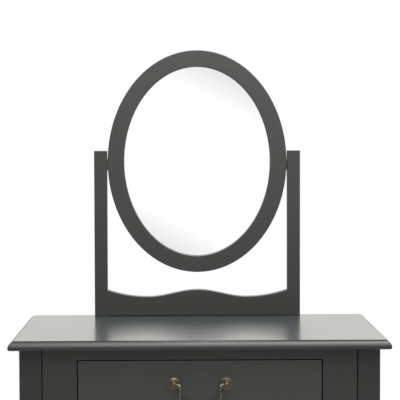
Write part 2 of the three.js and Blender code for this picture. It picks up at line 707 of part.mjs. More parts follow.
// The bail in its own plane: out of each post, down a swan's neck, and across the grip.
function bail() {
  const arm = [
    [HANDLE_X - 0.2, 0], [HANDLE_X - 4, 0], [KNUCKLE.x + 2.6, -0.6], [KNUCKLE.x, -KNUCKLE.drop], [33.7, -9.5],
    [34.9, -18], [33.4, -25], [29.5, -32], [23, -38], [13, -41.6],
  ];
  const at = (x, z) => new THREE.Vector3(x, FRONT_FACE - HANDLE_STANDOFF, HANDLE_HEIGHT + z);
  const points = [
    ...arm.map(([x, z]) => at(-x, z)),
    at(0, -42.6),
    ...arm.reverse().map(([x, z]) => at(x, z)),
  ];
  const section = new THREE.Shape(ellipse(0, 0, BAIL_RADIUS, BAIL_RADIUS, 8).map((p) => new THREE.Vector2(...p)));
  const wire = new THREE.ExtrudeGeometry(section, {
    steps: 56,
    extrudePath: new THREE.CatmullRomCurve3(points),
    bevelEnabled: false,
  });
  const knuckles = SIDES.map(([, side]) =>
    new THREE.SphereGeometry(KNUCKLE.radius, 14, 10).translate(...at(side * KNUCKLE.x, -KNUCKLE.drop)),
  );
  return joined(wire, ...knuckles);
}

for (const [name, side] of SIDES) {
  add(`handle_rosette_${name}`, rosette(side), ANTIQUE_BRASS);
  add(`handle_post_${name}`, handlePost(side), ANTIQUE_BRASS);
  add(`handle_screw_${name}`, handleScrew(side), STEEL);
}
add("handle_bail", bail(), ANTIQUE_BRASS);

export default table;
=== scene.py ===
"""A dark grey painted dressing table with a tilting oval mirror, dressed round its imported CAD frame."""

import math

import bmesh
import bpy
from mathutils import Matrix, Vector


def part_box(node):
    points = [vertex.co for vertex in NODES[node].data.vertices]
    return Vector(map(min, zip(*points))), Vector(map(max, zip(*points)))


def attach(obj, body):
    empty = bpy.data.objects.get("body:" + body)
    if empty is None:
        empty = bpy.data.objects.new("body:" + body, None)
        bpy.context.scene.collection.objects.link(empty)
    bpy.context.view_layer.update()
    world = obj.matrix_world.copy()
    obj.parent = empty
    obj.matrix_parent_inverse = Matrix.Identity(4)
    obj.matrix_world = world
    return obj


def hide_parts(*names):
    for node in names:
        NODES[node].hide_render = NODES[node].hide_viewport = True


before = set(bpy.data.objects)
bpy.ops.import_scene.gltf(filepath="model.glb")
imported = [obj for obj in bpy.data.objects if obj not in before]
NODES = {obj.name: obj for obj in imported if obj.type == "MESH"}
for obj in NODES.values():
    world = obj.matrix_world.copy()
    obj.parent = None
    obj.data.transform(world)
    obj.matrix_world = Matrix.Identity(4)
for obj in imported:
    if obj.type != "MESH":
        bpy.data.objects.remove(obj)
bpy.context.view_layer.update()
MM = 0.001
TINY = 1e-6
SIDES = {"left": -1, "right": 1}
CORNERS = {
    "front_left": (-1, -1),
    "front_right": (1, -1),
    "rear_left": (-1, 1),
    "rear_right": (1, 1),
}


def low(node):
    """The lowest corner of a node's box."""
    return Vector(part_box(node)[0])


def high(node):
    """The highest corner of a node's box."""
    return Vector(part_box(node)[1])


def middle_of(node):
    """The middle of a node's box."""
    return (low(node) + high(node)) / 2


# ---------- sizes worked out from the frame, in metres ----------
TOP_LOW, TOP_HIGH = low("table_top"), high("table_top")
SURFACE, UNDERSIDE = TOP_HIGH.z, TOP_LOW.z
REAR = TOP_HIGH.y
LEG_OUT = high("leg_front_right").x
LEG_FRONT = low("leg_front_right").y
LEG_REAR = high("leg_rear_right").y
APRON_LOW = low("front_apron")
ROOF = high("front_apron").z
POST_LOW, POST_HIGH = low("mirror_post_right"), high("mirror_post_right")
STAND_FRONT = POST_LOW.y
STAND_MIDDLE = (POST_LOW.y + POST_HIGH.y) / 2
MIRROR_LOW, MIRROR_HIGH = low("mirror_frame"), high("mirror_frame")
MIRROR_MIDDLE = (MIRROR_LOW.z + MIRROR_HIGH.z) / 2
GLASS_FRONT, GLASS_BACK = low("mirror_glass").y, high("mirror_glass").y


# ---------- node helpers ----------
class Nodes:
    """A short way to add linked nodes to a node tree."""

    def __init__(self, tree):
        self.tree = tree

    def add(self, kind, inputs=None, **settings):
        node = self.tree.nodes.new(kind)
        for key, value in settings.items():
            setattr(node, key, value)
        for key, value in (inputs or {}).items():
            socket = node.inputs[key]
            if isinstance(value, bpy.types.NodeSocket):
                self.tree.links.new(value, socket)
            else:
                socket.default_value = value
        return node

    def math(self, operation, a, b=0.0):
        return self.add("ShaderNodeMath", {0: a, 1: b}, operation=operation).outputs[0]

    def noise(self, vector, scale, detail=3.0, roughness=0.5, distortion=0.0):
        inputs = {
            "Vector": vector,
            "Scale": scale,
            "Detail": detail,
            "Roughness": roughness,
            "Distortion": distortion,
        }
        return self.add("ShaderNodeTexNoise", inputs).outputs["Fac"]

    def stretched(self, scale=(1, 1, 1)):
        """The point on the object, with its coordinates scaled."""
        place = self.add("ShaderNodeTexCoord").outputs["Object"]
        return self.add("ShaderNodeVectorMath", {0: place, 1: scale}, operation="MULTIPLY").outputs[0]

    def ramp(self, value, source, target=(0.0, 1.0), **settings):
        """Maps one range of values to another, and holds its ends beyond it."""
        inputs = {
            "Value": value,
            "From Min": source[0],
            "From Max": source[1],
            "To Min": target[0],
            "To Max": target[1],
        }
        return self.add("ShaderNodeMapRange", inputs, **settings).outputs[0]

    def mix(self, factor, a, b):
        """Mixes two colours, each a socket or a plain (r, g, b)."""
        node = self.add("ShaderNodeMix", {"Factor": factor}, data_type="RGBA")
        for socket, value in ((node.inputs[6], a), (node.inputs[7], b)):
            if isinstance(value, bpy.types.NodeSocket):
                self.tree.links.new(value, socket)
            else:
                socket.default_value = (*value, 1.0)
        return node.outputs[2]

    def bump(self, height, strength, distance, normal=None):
        inputs = {"Height": height, "Strength": strength, "Distance": distance}
        if normal is not None:
            inputs["Normal"] = normal
        return self.add("ShaderNodeBump", inputs).outputs["Normal"]


def material(name, build, wrap=None, **constants):
    """A Principled material, with constants on its own sockets and links from build.

    A wrap, if given, turns the shader's output into the surface.
    """
    made = bpy.data.materials.new(name)
    made.use_nodes = True
    made.node_tree.nodes.clear()
    nodes = Nodes(made.node_tree)
    shader = nodes.add("ShaderNodeBsdfPrincipled")
    for key, value in constants.items():
        shader.inputs[key].default_value = value
    for key, value in build(nodes).items():
        made.node_tree.links.new(value, shader.inputs[key])
    surface = shader.outputs[0]
    if wrap:
        surface = wrap(nodes, surface)
    nodes.add("ShaderNodeOutputMaterial", {"Surface": surface})
    return made


# ---------- materials ----------
def along(axis, squeeze):
    """A scale that draws a pattern out along one axis."""
    return [squeeze if letter == axis else 1.0 for letter in "xyz"]


def paint(name, axis, tone, roughness, unevenness=1.0, **constants):
    """Sprayed satin paint: orange peel, faint wood grain along the board, and slight cloudiness."""
    tint = 0.05 * unevenness
    dark = [channel * (1 - tint) for channel in tone]
    light = [channel * (1 + tint) for channel in tone]
    gloss_range = (roughness - 0.03 * unevenness, roughness + 0.04 * unevenness)
    relief = 0.12 * MM

    def build(nodes):
        place = nodes.stretched()
        grain = nodes.noise(nodes.stretched(along(axis, 0.06)), scale=260, detail=4, roughness=0.6)
        cloud = nodes.noise(place, scale=7, detail=4)
        peel = nodes.noise(place, scale=650, detail=2)
        blend = nodes.math("ADD", cloud, nodes.math("MULTIPLY", grain, 0.4))
        gloss = nodes.math("ADD", cloud, nodes.math("MULTIPLY", peel, 0.3))
        skin = nodes.bump(peel, strength=0.05 * unevenness, distance=relief)
        return {
            "Base Color": nodes.mix(nodes.ramp(blend, (0.35, 1.05)), dark, light),
            "Roughness": nodes.ramp(gloss, (0.3, 1.0), gloss_range),
            "Normal": nodes.bump(grain, strength=0.04 * unevenness, distance=relief, normal=skin),
        }

    return material(name, build, **{"IOR": 1.5, **constants})


def wood(name, axis, light, dark, roughness=0.6):
    """Planed softwood: wandering growth rings stretched along the grain, and fine fibres."""
    growth = {"Scale": 26, "Distortion": 7.0, "Detail": 2.0, "Detail Scale": 0.8}
    bands = {"wave_type": "BANDS", "bands_direction": "DIAGONAL"}

    def build(nodes):
        place = nodes.stretched(along(axis, 0.09))
        warp = nodes.noise(place, scale=5, detail=2)
        across = nodes.add("ShaderNodeTexWave", {"Vector": place, **growth}, **bands).outputs["Fac"]
        narrow = nodes.math("POWER", across, 2.2)
        rings = nodes.math("MULTIPLY", narrow, nodes.ramp(warp, (0.3, 0.7), (0.35, 0.9)))
        fibre = nodes.noise(nodes.stretched(along(axis, 0.03)), scale=900, detail=3)
        streaks = nodes.ramp(fibre, (0.45, 0.75), (0.0, 0.35))
        return {
            "Base Color": nodes.mix(streaks, nodes.mix(rings, light, dark), dark),
            "Roughness": nodes.ramp(fibre, (0.3, 0.7), (roughness - 0.08, roughness + 0.1)),
            "Normal": nodes.bump(fibre, strength=0.25, distance=0.2 * MM),
        }

    return material(name, build, IOR=1.45)


def hardboard():
    """Pressed brown fibre with scattered dark specks."""
    light, dark, speckled = (0.34, 0.21, 0.115), (0.20, 0.115, 0.055), (0.12, 0.065, 0.032)

    def build(nodes):
        place = nodes.stretched()
        fibre = nodes.noise(place, scale=1100, detail=5, roughness=0.7, distortion=0.6)
        cloud = nodes.noise(place, scale=18, detail=3)
        speck = nodes.ramp(nodes.noise(place, scale=420, detail=2), (0.58, 0.72), (0.0, 0.5))
        base = nodes.mix(nodes.math("MULTIPLY", fibre, cloud), dark, light)
        return {
            "Base Color": nodes.mix(speck, base, speckled),
            "Roughness": nodes.ramp(fibre, (0.3, 0.7), (0.55, 0.75)),
            "Normal": nodes.bump(fibre, strength=0.2, distance=0.2 * MM),
        }

    return material("hardboard", build, IOR=1.45)


def silvering():
    """A mirror's face, with the faintest haze of cloth marks in its polish."""
    hazy, clear = (0.975, 0.985, 0.98), (0.99, 0.99, 0.99)

    def build(nodes):
        wipe = nodes.noise(nodes.stretched((1, 1, 0.4)), scale=14, detail=4, distortion=1.2)
        return {
            "Base Color": nodes.mix(nodes.ramp(wipe, (0.3, 0.8)), hazy, clear),
            "Roughness": nodes.ramp(wipe, (0.45, 0.8), (0.004, 0.02)),
        }

    return material("silvered_glass", build, Metallic=1.0)


def metal(name, bright, dull, roughness, patches=90.0):
    """Metal whose brightness is broken by a patina, with a fine cast or plated grit."""

    def build(nodes):
        place = nodes.stretched()
        patina = nodes.noise(place, scale=patches, detail=5, roughness=0.62, distortion=0.4)
        grit = nodes.noise(place, scale=900, detail=3)
        return {
            "Base Color": nodes.mix(nodes.ramp(patina, (0.38, 0.66)), bright, dull),
            "Roughness": nodes.ramp(patina, (0.3, 0.7), (roughness - 0.08, roughness + 0.12)),
            "Normal": nodes.bump(grit, strength=0.15, distance=0.12 * MM),
        }

    return material(name, build, Metallic=1.0)


def nylon():
    """Dark moulded nylon with a fine spark-eroded grain."""
    dark, light = (0.012, 0.012, 0.012), (0.03, 0.03, 0.03)

    def build(nodes):
        grain = nodes.noise(nodes.stretched(), scale=1400, detail=2)
        return {
            "Base Color": nodes.mix(grain, dark, light),
            "Roughness": nodes.ramp(grain, (0.3, 0.7), (0.45, 0.62)),
            "Normal": nodes.bump(grain, strength=0.2, distance=0.1 * MM),
        }

    return material("nylon", build, IOR=1.5)


TONE = (0.028, 0.0285, 0.026)
TOP_TONE = (0.032, 0.038, 0.040)
PINE_TONES = ((0.50, 0.35, 0.20), (0.33, 0.19, 0.085))
# darker pine for the runners, kickers and corner blocks: painted shade, so that the gaps round the drawer
# read dark
CARCASS_SHADE_TONES = ((0.36, 0.25, 0.15), (0.22, 0.13, 0.06))
LACQUER = {"IOR": 1.55, "Coat Weight": 0.3, "Coat Roughness": 0.12, "Coat IOR": 1.5}


def grey_paint(name, axis, share=1.0, roughness=0.36):
    """The table's paint at a share of its tone; the shares make lighter and darker copies of the one paint
    that stand for painted light and painted shade.
    """
    return paint(f"grey_paint_{name}", axis, [channel * share for channel in TONE], roughness)


PAINT = {axis: grey_paint(axis, axis) for axis in "xyz"}
TOP_PAINT = paint("grey_paint_top", "x", TOP_TONE, roughness=0.26, unevenness=0.3, **LACQUER)
# a darker copy of the paint for the moulding: painted shade under the top's edge
MOULDING_SHADED_PAINT = grey_paint("moulding", "x", share=0.60, roughness=0.43)
# a darker copy for the front apron: painted shade under the top
APRON_SHADED_PAINT = grey_paint("apron", "x", share=0.75, roughness=0.40)
# a lighter copy for the drawer front: painted light
FRONT_LIT_PAINT = grey_paint("front", "x", share=1.14)
# a lighter copy for the mirror frame: painted light from above
FRAME_LIT_PAINT = grey_paint("frame", "z", share=1.10)
# the darkest copy for the legs: painted shade towards the sides and under the top
LEG_SHADED_PAINT = grey_paint("leg", "z", share=0.55, roughness=0.42)
PINE = {axis: wood(f"pine_{axis}", axis, *PINE_TONES) for axis in "xy"}
# the carcass pine in the darker tones, which are painted shade
CARCASS_SHADE_PINE = {axis: wood(f"pine_darkened_for_shade_{axis}", axis, *CARCASS_SHADE_TONES) for axis in "yz"}
PLYWOOD = wood("plywood", "x", (0.52, 0.385, 0.24), (0.42, 0.29, 0.155), roughness=0.62)
HARDBOARD = hardboard()
SILVERED = silvering()
BRASS = metal("antique_brass", (0.18, 0.151, 0.078), (0.07, 0.058, 0.032), roughness=0.48, patches=160.0)
# the bail's brass, lighter and greyer than the rosettes'
BAIL_BRASS = metal(
    "antique_brass_bail", (0.178, 0.168, 0.122), (0.09, 0.082, 0.058), roughness=0.55, patches=160.0
)
PIVOT_BRASS = metal("antique_brass_pivot", (0.12, 0.115, 0.10), (0.05, 0.048, 0.042), roughness=0.45)
STEEL = metal("zinc_steel", (0.62, 0.62, 0.60), (0.45, 0.45, 0.44), roughness=0.32)
NYLON = nylon()


# ---------- mesh helpers ----------
def weigh(obj):
    """Lets the large flat faces keep their own normals, so that only the eased edges shade round."""
    weighted = obj.modifiers.new("weighted", "WEIGHTED_NORMAL")
    weighted.keep_sharp = True
    weighted.weight = 100


def ease(obj, name, width, segments, sharp):
    """Rounds every edge that bends more than an angle in degrees."""
    bevel = obj.modifiers.new(name, "BEVEL")
    bevel.width = width
    bevel.segments = segments
    bevel.limit_method = "ANGLE"
    bevel.angle_limit = math.radians(sharp)


def add_object(name, data):
    obj = bpy.data.objects.new(name, data)
    bpy.context.scene.collection.objects.link(obj)
    return obj


def piece(name, built, body, finish, slot, replaced, arris=0.0, segments=3, sharp=30):
    """Turns a bmesh into a finished piece that rides on a body and stands for CAD nodes."""
    bmesh.ops.recalc_face_normals(built, faces=built.faces)
    mesh = bpy.data.meshes.new(name)
    built.to_mesh(mesh)
    built.free()
    for polygon in mesh.polygons:
        polygon.use_smooth = True
    mesh.set_sharp_from_angle(angle=math.radians(sharp))
    mesh.materials.append(finish)
    obj = add_object(name, mesh)
    if arris:
        ease(obj, "arris", arris, segments, sharp)
    weigh(obj)
    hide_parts(*replaced)
    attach(obj, body)
    return obj


def painted(name, built, finish, node, **edges):
    """A painted piece of the table's body that stands for one CAD node."""
    return piece(name, built, "table", finish, "grey_paint", [node], **edges)


def spread(start, end, count):
    """Values from start to end in count even steps."""
    return [start + (end - start) * i / count for i in range(count + 1)]


def neighbours(count):
    """Each place in a ring of count, with the place after it."""
    return [(i, (i + 1) % count) for i in range(count)]


def loft(built, rings, around=False):
    """Joins closed rings of points in turn, then caps both ends or joins the last to the first."""
    rows = [[built.verts.new(point) for point in ring] for ring in rings]
    following = rows[1:] + rows[:1] if around else rows[1:]
    for near, far in zip(rows, following):
        for i, j in neighbours(len(near)):
            built.faces.new((near[i], near[j], far[j], far[i]))
    if not around:
        built.faces.new(rows[0])
        built.faces.new(rows[-1])


PLANES = {
    "x": lambda a, b, c: Vector((c, a, b)),
    "y": lambda a, b, c: Vector((a, c, b)),
    "z": lambda a, b, c: Vector((a, b, c)),
}
SHARED_DECIMALS = 7


def slab(built, polygons, axis, start, end):
    """A flat solid between two stations on an axis.

    The polygons share corner points, and a gap in them is a hole.
    """
    corners = {}

    def corner(point, station):
        key = (*point, station)
        if key not in corners:
            corners[key] = built.verts.new(PLANES[axis](*key))
        return corners[key]

    edges = set()
    for polygon in polygons:
        polygon = [(round(a, SHARED_DECIMALS), round(b, SHARED_DECIMALS)) for a, b in polygon]
        built.faces.new([corner(point, start) for point in polygon])
        built.faces.new([corner(point, end) for point in reversed(polygon)])
        edges |= set(zip(polygon, polygon[1:] + polygon[:1]))
    for a, b in sorted(edges):
        if (b, a) not in edges:
            built.faces.new([corner(b, start), corner(a, start), corner(a, end), corner(b, end)])


def block(built, lowest, highest):
    """A box between two opposite corners."""
    x0, y0, z0 = lowest
    x1, y1, z1 = highest
    slab(built, [[(x0, y0), (x1, y0), (x1, y1), (x0, y1)]], "z", z0, z1)


def arc(centre_a, centre_b, radius_a, radius_b, start, end, steps):
    """Points on an elliptical arc between two angles in degrees."""
    points = []
    for angle in map(math.radians, spread(start, end, steps)):
        points.append((centre_a + radius_a * math.cos(angle), centre_b + radius_b * math.sin(angle)))
    return points


def round_rectangle(a0, b0, a1, b1, radius, steps=5):
    """A rectangle with round corners, anticlockwise from its lower right."""
    return (
        arc(a1 - radius, b0 + radius, radius, radius, -90, 0, steps)
        + arc(a1 - radius, b1 - radius, radius, radius, 0, 90, steps)
        + arc(a0 + radius, b1 - radius, radius, radius, 90, 180, steps)
        + arc(a0 + radius, b0 + radius, radius, radius, 180, 270, steps)
    )


def blended(p, q, r, s, t):
    """A uniform Catmull-Rom value, a share t of the way from q to r."""
    square = 2 * p - 5 * q + 4 * r - s
    cube = 3 * q - p - 3 * r + s
    return 0.5 * (2 * q + (r - p) * t + square * t**2 + cube * t**3)


def spline(points, steps):
    """A smooth curve through points of any dimension, with steps in each span."""
    ends = [points[0], *points, points[-1]]
    made = []
    for span in zip(ends, ends[1:], ends[2:], ends[3:]):
        for i in range(steps):
            made.append(tuple(blended(*values, i / steps) for values in zip(*span)))
    return made + [tuple(points[-1])]


def placer(origin, direction):
    """A function that places points whose z runs from origin along direction."""
    turn = Vector(direction).to_track_quat("Z", "Y")
    return lambda x, y, z: Vector(origin) + turn @ Vector((x, y, z))


def lathe(built, profile, place, segments):
    """Turns (radius, height) points round their axis, and returns the rings of corners."""
    rings = []
    for radius, height in profile:
        angles = spread(0, 2 * math.pi, segments)[:-1] if radius > TINY else [0.0]
        points = [(radius * math.cos(angle), radius * math.sin(angle), height) for angle in angles]
        rings.append([built.verts.new(place(*point)) for point in points])
    for near, far in zip(rings, rings[1:]):
        for i, j in neighbours(segments):
            corners = (near[i % len(near)], near[j % len(near)], far[j % len(far)], far[i % len(far)])
            built.faces.new(list(dict.fromkeys(corners)))
    return rings


def wave(place, half, hollow, end, trough, hump):
    """A waved edge's height: a cosine hump between two hollows, and a parabola rising to each end."""
    distance = abs(place)
    if distance < hollow:
        return (hump + trough) / 2 + (hump - trough) / 2 * math.cos(math.pi * distance / hollow)
    return trough + (end - trough) * ((distance - hollow) / (half - hollow)) ** 2


WOOD_ARRIS = 0.8 * MM
# on a piece with curved outlines, only edges that bend more than this many degrees are sharp
CURVED_SHARP = 50


# ---------- table top ----------
# the moulding from the top down: a square step, an upper and a lower curve, each given as (inward, down)
MOULD = {"inset": 8.4 * MM, "step": 1.6 * MM, "upper": (7.4 * MM, 9.6 * MM), "lower": (3 * MM, 3.8 * MM)}
MOULD_FLATNESS = 1.3
STEP_ARRIS = 0.5 * MM
TOP_CORNER = {"radius": 2.5 * MM, "least": 0.3 * MM}
TOP_ARRIS = 0.4 * MM
LEVEL_FACE = {"upright": 0.9, "depth": 1 * MM}


def mould_profile():
    """The moulded edge as (inset, height) points, from the top surface down to the underside.

    Its upper curve is an elliptical quarter pulled flatter in the middle.
    """
    inset, step, edge = MOULD["inset"], MOULD["step"], STEP_ARRIS
    upper_in, upper_down = MOULD["upper"]
    lower_in, lower_down = MOULD["lower"]
    points = [(inset + edge - a, SURFACE - edge + b) for a, b in arc(0, 0, edge, edge, 90, 0, steps=3)]
    points.append((inset, SURFACE - step))
    for angle in map(math.radians, spread(90, 0, count=18)):
        inward = upper_in * (1 - math.cos(angle) ** MOULD_FLATNESS)
        fall = upper_down * (1 - math.sin(angle) ** MOULD_FLATNESS)
        points.append((inward, SURFACE - step - fall))
    under = arc(0, 0, lower_in, lower_down, 0, 90, steps=8)
    points += [(lower_in - a, UNDERSIDE + lower_down - b) for a, b in under]
    return points


def table_top():
    """The top, its moulding running round the front and sides and stopping square at the back.

    Its level face is lacquered, and the moulding is plain paint in a darker copy that paints in its shade.
    """
    built = bmesh.new()
    rings = []
    for inset, height in mould_profile():
        radius = max(TOP_CORNER["radius"] - inset, TOP_CORNER["least"])
        x, y = TOP_HIGH.x - inset, TOP_LOW.y + inset
        bend = arc(x - radius, y + radius, radius, radius, -90, 0, steps=4)
        line = [(-x, REAR), *((-a, b) for a, b in reversed(bend)), *bend, (x, REAR)]
        rings.append([Vector((a, b, height)) for a, b in line])
    loft(built, rings)
    top = painted("table_top_moulded", built, TOP_PAINT, "table_top", arris=TOP_ARRIS, segments=2, sharp=40)
    # the moulding takes the darker copy of the paint, which is painted shade
    top.data.materials.append(MOULDING_SHADED_PAINT)
    for polygon in top.data.polygons:
        near_surface = polygon.center.z > SURFACE - LEVEL_FACE["depth"]
        level = near_surface and polygon.normal.z > LEVEL_FACE["upright"]
        polygon.material_index = 0 if level else 1


# ---------- legs ----------
# the curved part from the floor up, in millimetres: (height, inset of outer faces, inset of inner faces)
LEG_CURVE = [
    (3, 1, 28),
    (30, 4, 28.5),
    (90, 10, 31.5),
    (180, 14, 35),
    (300, 11.5, 36),
    (430, 5, 36.8),
    (540, 0.8, 37.8),
]
LEG = 38 * MM
LEG_BLOCK_START = 10 * MM
LEG_EDGE = {"block": 1.0 * MM, "foot": 3.0 * MM, "over": 200 * MM}


def leg(name, side, end):
    """A square block between the aprons, over a slim curve whose edges are rounder towards the foot."""
    built = bmesh.new()
    node = f"leg_{name}"
    outer_y = -LEG_FRONT if end < 0 else LEG_REAR
    joint = APRON_LOW.z
    points = [(z * MM, a * MM, b * MM) for z, a, b in LEG_CURVE] + [(joint, 0.0, LEG)]
    sections = spline(points, steps=8) + [(joint + LEG_BLOCK_START, 0.0, LEG), (high(node).z, 0.0, LEG)]
    rings = []
    for height, outer, inner in sections:
        share = min(1.0, max(0.0, (joint - height) / LEG_EDGE["over"]))
        radius = LEG_EDGE["block"] + (LEG_EDGE["foot"] - LEG_EDGE["block"]) * share
        x0, x1 = sorted((side * (LEG_OUT - outer), side * (LEG_OUT - inner)))
        y0, y1 = sorted((end * (outer_y - outer), end * (outer_y - inner)))
        rings.append([Vector((a, b, height)) for a, b in round_rectangle(x0, y0, x1, y1, radius)])
    loft(built, rings)
    # the legs take the darkest copy of the paint, painted shade
    painted(f"{node}_curved", built, LEG_SHADED_PAINT, node, arris=WOOD_ARRIS, segments=2, sharp=CURVED_SHARP)


# ---------- aprons ----------
APRON_GAP = 1.3 * MM
APRON_HALF = LEG_OUT - LEG - APRON_GAP
OPENING = {"half": 209.2 * MM, "top": UNDERSIDE - 18.4 * MM, "bottom": UNDERSIDE - 116.6 * MM}
FRONT_WAVE = {"hollow": 147 * MM, "end": 150 * MM, "trough": 135 * MM, "hump": 148 * MM}
SIDE_WAVE = {"hollow": 70 * MM, "end": 150 * MM, "trough": 138 * MM, "hump": 149 * MM}
TONGUE = {"setback": 4 * MM, "thickness": 7 * MM, "root": 5 * MM}
TONGUE_FOOT = {"front": APRON_LOW.z + 1 * MM, "side": APRON_LOW.z + 14 * MM}
PANEL = 15 * MM
DRAWER_ARRIS = 1.0 * MM


def front_apron():
    """The front apron in one plane with its drawer opening, waved along the bottom, and its tongues."""
    built = bmesh.new()
    half, hole = APRON_HALF, OPENING["half"]
    sill, head = OPENING["bottom"], OPENING["top"]
    left, middle, right = (
        [(x, UNDERSIDE - wave(x, half, **FRONT_WAVE)) for x in spread(start, end, count)]
        for start, end, count in ((-half, -hole, 10), (-hole, hole, 90), (hole, half, 10))
    )
    polygons = [
        left + [(-hole, sill), (-hole, head), (-hole, ROOF), (-half, ROOF)],
        middle + [(hole, sill), (-hole, sill)],
        [(-hole, head), (hole, head), (hole, ROOF), (-hole, ROOF)],
        right + [(half, ROOF), (hole, ROOF), (hole, head), (hole, sill)],
    ]
    slab(built, polygons, "y", APRON_LOW.y, APRON_LOW.y + PANEL)
    front = APRON_LOW.y + TONGUE["setback"]
    for side in SIDES.values():
        near, far = sorted((side * (half - TONGUE["root"]), side * (LEG_OUT - LEG)))
        block(built, (near, front, TONGUE_FOOT["front"]), (far, front + TONGUE["thickness"], ROOF))
    # the front apron takes a darker copy of the paint, painted shade
    painted("front_apron_waved", built, APRON_SHADED_PAINT, "front_apron", arris=WOOD_ARRIS, sharp=CURVED_SHARP)


def side_apron(name, side):
    """A side apron, waved along the bottom, with the tongue that enters both legs."""
    built = bmesh.new()
    node = f"side_apron_{name}"
    start, end = LEG_FRONT + LEG, LEG_REAR - LEG
    middle, half = (start + end) / 2, (end - start) / 2 - APRON_GAP
    bottom = [(middle + y, UNDERSIDE - wave(y, half, **SIDE_WAVE)) for y in spread(-half, half, count=60)]
    outline = bottom + [(middle + half, ROOF), (middle - half, ROOF)]
    slab(built, [outline], "x", *sorted((side * (LEG_OUT - PANEL), side * LEG_OUT)))
    outer = LEG_OUT - TONGUE["setback"]
    near, far = sorted((side * (outer - TONGUE["thickness"]), side * outer))
    block(built, (near, start, TONGUE_FOOT["side"]), (far, end, ROOF))
    painted(f"{node}_waved", built, PAINT["y"], node, arris=WOOD_ARRIS, sharp=CURVED_SHARP)


def plain_board(node, body, finish, arris):
    """A square-edged painted board with eased edges, the size of its CAD node."""
    built = bmesh.new()
    block(built, low(node), high(node))
    piece(f"{node}_board", built, body, finish, "grey_paint", [node], arris)


# ---------- mirror stand ----------
RAIL_WAVE = {"hollow": 95 * MM, "end": 50 * MM, "trough": 36.9 * MM, "hump": 50.4 * MM}
RAIL_OVERLAP = 0.8 * MM
RAIL_FOOT_ARRIS = 1.6 * MM
BUSH_GAP = {"round": 0.3 * MM, "behind": 0.5 * MM}


def mirror_rail():
    """The waved rail, painted in with the posts so that the joints don't show.

    Its ends overlap the posts. Its long edges are eased, and those along its foot twice as much.
    """
    built = bmesh.new()
    half = POST_LOW.x
    base = low("mirror_rail").z
    top = [(x, SURFACE + wave(x, half, **RAIL_WAVE)) for x in spread(half, -half, count=128)]
    reach = half + RAIL_OVERLAP
    outline = [(reach, base), (reach, top[0][1]), *top, (-reach, top[-1][1]), (-reach, base)]
    slab(built, [outline[::-1]], "y", STAND_FRONT, REAR)
    weight = built.edges.layers.float.new("bevel_weight_edge")
    for edge in built.edges:
        near, far = (corner.co for corner in edge.verts)
        middle = (near + far) / 2
        between_posts = abs(middle.x) < half + RAIL_OVERLAP / 2
        on_a_face = abs(near.y - far.y) < TINY
        share = 1.0 if middle.z < base + WOOD_ARRIS else WOOD_ARRIS / RAIL_FOOT_ARRIS
        edge[weight] = share if between_posts and on_a_face else 0.0
    rail = painted("mirror_rail_waved", built, PAINT["x"], "mirror_rail", arris=RAIL_FOOT_ARRIS)
    rail.modifiers["arris"].limit_method = "WEIGHT"


def quarters(pivot, radius):
    """The post's side as four polygons round a hole, as (y, z) points."""
    y, z = pivot
    y0, y1, z0, z1 = STAND_FRONT, REAR, POST_LOW.z, POST_HIGH.z
    sides = [(y1, z), (y, z1), (y0, z), (y, z0)]
    corners = [(y1, z1), (y0, z1), (y0, z0), (y1, z0)]
    made = []
    for i, j in neighbours(4):
        bend = arc(y, z, radius, radius, 90 * (i + 1), 90 * i, steps=8)
        made.append([sides[i], corners[i], sides[j], *bend])
    return made


def mirror_post(name, side):
    """A square post with eased edges and a blind hole for its pivot bush.

    The slab is as deep as the hole. Its far face is taken off, the hole is closed there, and the outside is
    drawn on to the post's outer side.
    """
    built = bmesh.new()
    bush_low, bush_high = low("pivot_bush_right"), high("pivot_bush_right")
    radius = (bush_high.z - bush_low.z) / 2 + BUSH_GAP["round"]
    pivot = (STAND_MIDDLE, (bush_high.z + bush_low.z) / 2)
    depth = bush_high.x + BUSH_GAP["behind"]
    slab(built, quarters(pivot, radius), "x", POST_LOW.x, depth)

    def at_depth(corner):
        return abs(corner.co.x - depth) < TINY

    def on_hole(corner):
        return abs(math.dist(corner.co.yz, pivot) - radius) < TINY

    far_face = [face for face in built.faces if all(map(at_depth, face.verts))]
    bmesh.ops.delete(built, geom=far_face, context="FACES_KEEP_BOUNDARY")
    rim = [edge for edge in built.edges if edge.is_boundary]
    hole = [edge for edge in rim if all(map(on_hole, edge.verts))]
    outside = [edge for edge in rim if edge not in hole]
    bmesh.ops.contextual_create(built, geom=hole)
    grown = bmesh.ops.extrude_edge_only(built, edges=outside)["geom"]
    end_corners = [item for item in grown if isinstance(item, bmesh.types.BMVert)]
    end_edges = [item for item in grown if isinstance(item, bmesh.types.BMEdge)]
    bmesh.ops.translate(built, verts=end_corners, vec=(POST_HIGH.x - depth, 0, 0))
    bmesh.ops.contextual_create(built, geom=end_edges)
    if side < 0:
        bmesh.ops.scale(built, vec=(-1, 1, 1), verts=built.verts)
    node = f"mirror_post_{name}"
    painted(f"{node}_eased", built, PAINT["z"], node, arris=WOOD_ARRIS, sharp=CURVED_SHARP)


# ---------- mirror ----------
RIM = 31.3 * MM
RIM_EDGE = 1.2 * MM
OVAL_STEPS = 240
REBATE = {"glass": 8 * MM, "backing": 16 * MM, "gap": 0.3 * MM}
POCKET = {"depth": 2.3 * MM, "radius": 5.3 * MM, "rise": 6.0 * MM, "past": 3 * MM}
GLASS = {"grow": 7.5 * MM, "edge": 0.3 * MM}
FRAME_SHARP = 35


def oval(grow):
    """The opening's oval grown outward, as (x, z) points."""
    half_x = MIRROR_HIGH.x - RIM + grow
    half_z = MIRROR_HIGH.z - MIRROR_MIDDLE - RIM + grow
    angles = spread(0, 2 * math.pi, OVAL_STEPS)[:-1]
    return [(half_x * math.cos(t), MIRROR_MIDDLE + half_z * math.sin(t)) for t in angles]


def oval_rings(section):
    """Rings round the opening from (growth, y) points."""
    return [[Vector((x, y, z)) for x, z in oval(grow)] for grow, y in section]


